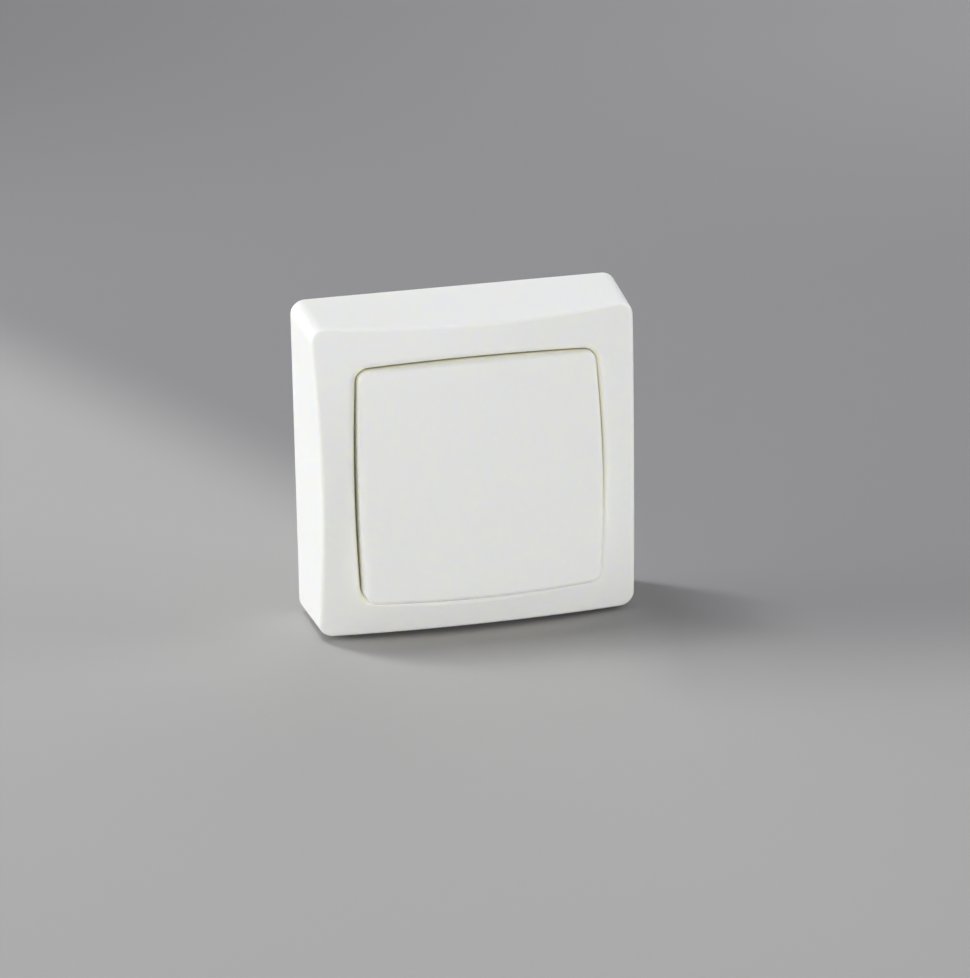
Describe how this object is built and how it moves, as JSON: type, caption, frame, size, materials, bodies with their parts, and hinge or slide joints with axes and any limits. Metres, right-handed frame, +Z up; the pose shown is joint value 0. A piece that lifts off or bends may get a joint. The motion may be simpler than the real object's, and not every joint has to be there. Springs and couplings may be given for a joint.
{
  "type": "surface-mounted light switch",
  "caption": "Surface-mounted light switch with a square domed hood, a large rocker with bulged sides and a two-way switch mechanism on a base plate.",
  "frame": {"origin": "centre of the back face that lies on the wall", "axes": "+Y into the wall, -Y out of the front, +Z up, +X to the right of someone who looks at the front"},
  "size_m": [0.086, 0.0318, 0.086],
  "materials": {
    "white_plastic": "satin, finely moulded",
    "base_plastic": "matt moulded",
    "housing_plastic": "matt moulded",
    "lid_plastic": "matt moulded",
    "cradle_plastic": "matt moulded",
    "plunger_plastic": "slippery moulded",
    "yoke_steel": "zinc plated",
    "screw_steel": "zinc plated",
    "spring_steel": "drawn wire",
    "clamp_steel": "zinc plated",
    "contact_brass": "punched sheet",
    "contact_silver": "silver alloy"
  },
  "bodies": {
    "body": {"cover_frame": "white_plastic", "base_plate": "base_plastic", "mechanism_housing": "housing_plastic", "housing_lid": "lid_plastic", "support_yoke": "yoke_steel", "yoke_screw_upper": "screw_steel", "yoke_screw_lower": "screw_steel", "terminal_screw_upper": "screw_steel", "terminal_screw_lower": "screw_steel", "terminal_screw_common": "screw_steel", "clamp_upper": "clamp_steel", "clamp_lower": "clamp_steel", "clamp_common": "clamp_steel", "common_terminal": "contact_brass", "terminal_upper": "contact_brass", "terminal_lower": "contact_brass", "fixed_contact_upper": "contact_silver", "fixed_contact_lower": "contact_silver"},
    "rocker": {"rocker": "white_plastic", "cradle": "cradle_plastic", "plunger_spring": "spring_steel"},
    "plunger": {"plunger": "plunger_plastic"},
    "lever": {"contact_lever": "contact_brass", "lever_contact_upper": "contact_silver", "lever_contact_lower": "contact_silver"}
  },
  "joints": [
    {"name": "rocker_tilt", "type": "hinge", "parent": "body", "child": "rocker", "pos_m": [0, -0.0245, 0], "axis": [1, 0, 0], "range_deg": [0, 9]},
    {"name": "lever_tip", "type": "hinge", "parent": "body", "child": "lever", "pos_m": [0, -0.01127, 0], "axis": [1, 0, 0], "range_deg": [-20, 0]},
    {"name": "plunger_slide", "type": "slide", "parent": "rocker", "child": "plunger", "axis": [0, -0.9969, 0.0785], "range_m": [0, 0.0012], "stiffness_N_per_m": 500, "deforming": ["plunger_spring"]}
  ],
  "couplings": [
    {"joint": "lever_tip", "follows": "rocker_tilt", "ratio": -2.2222}
  ]
}
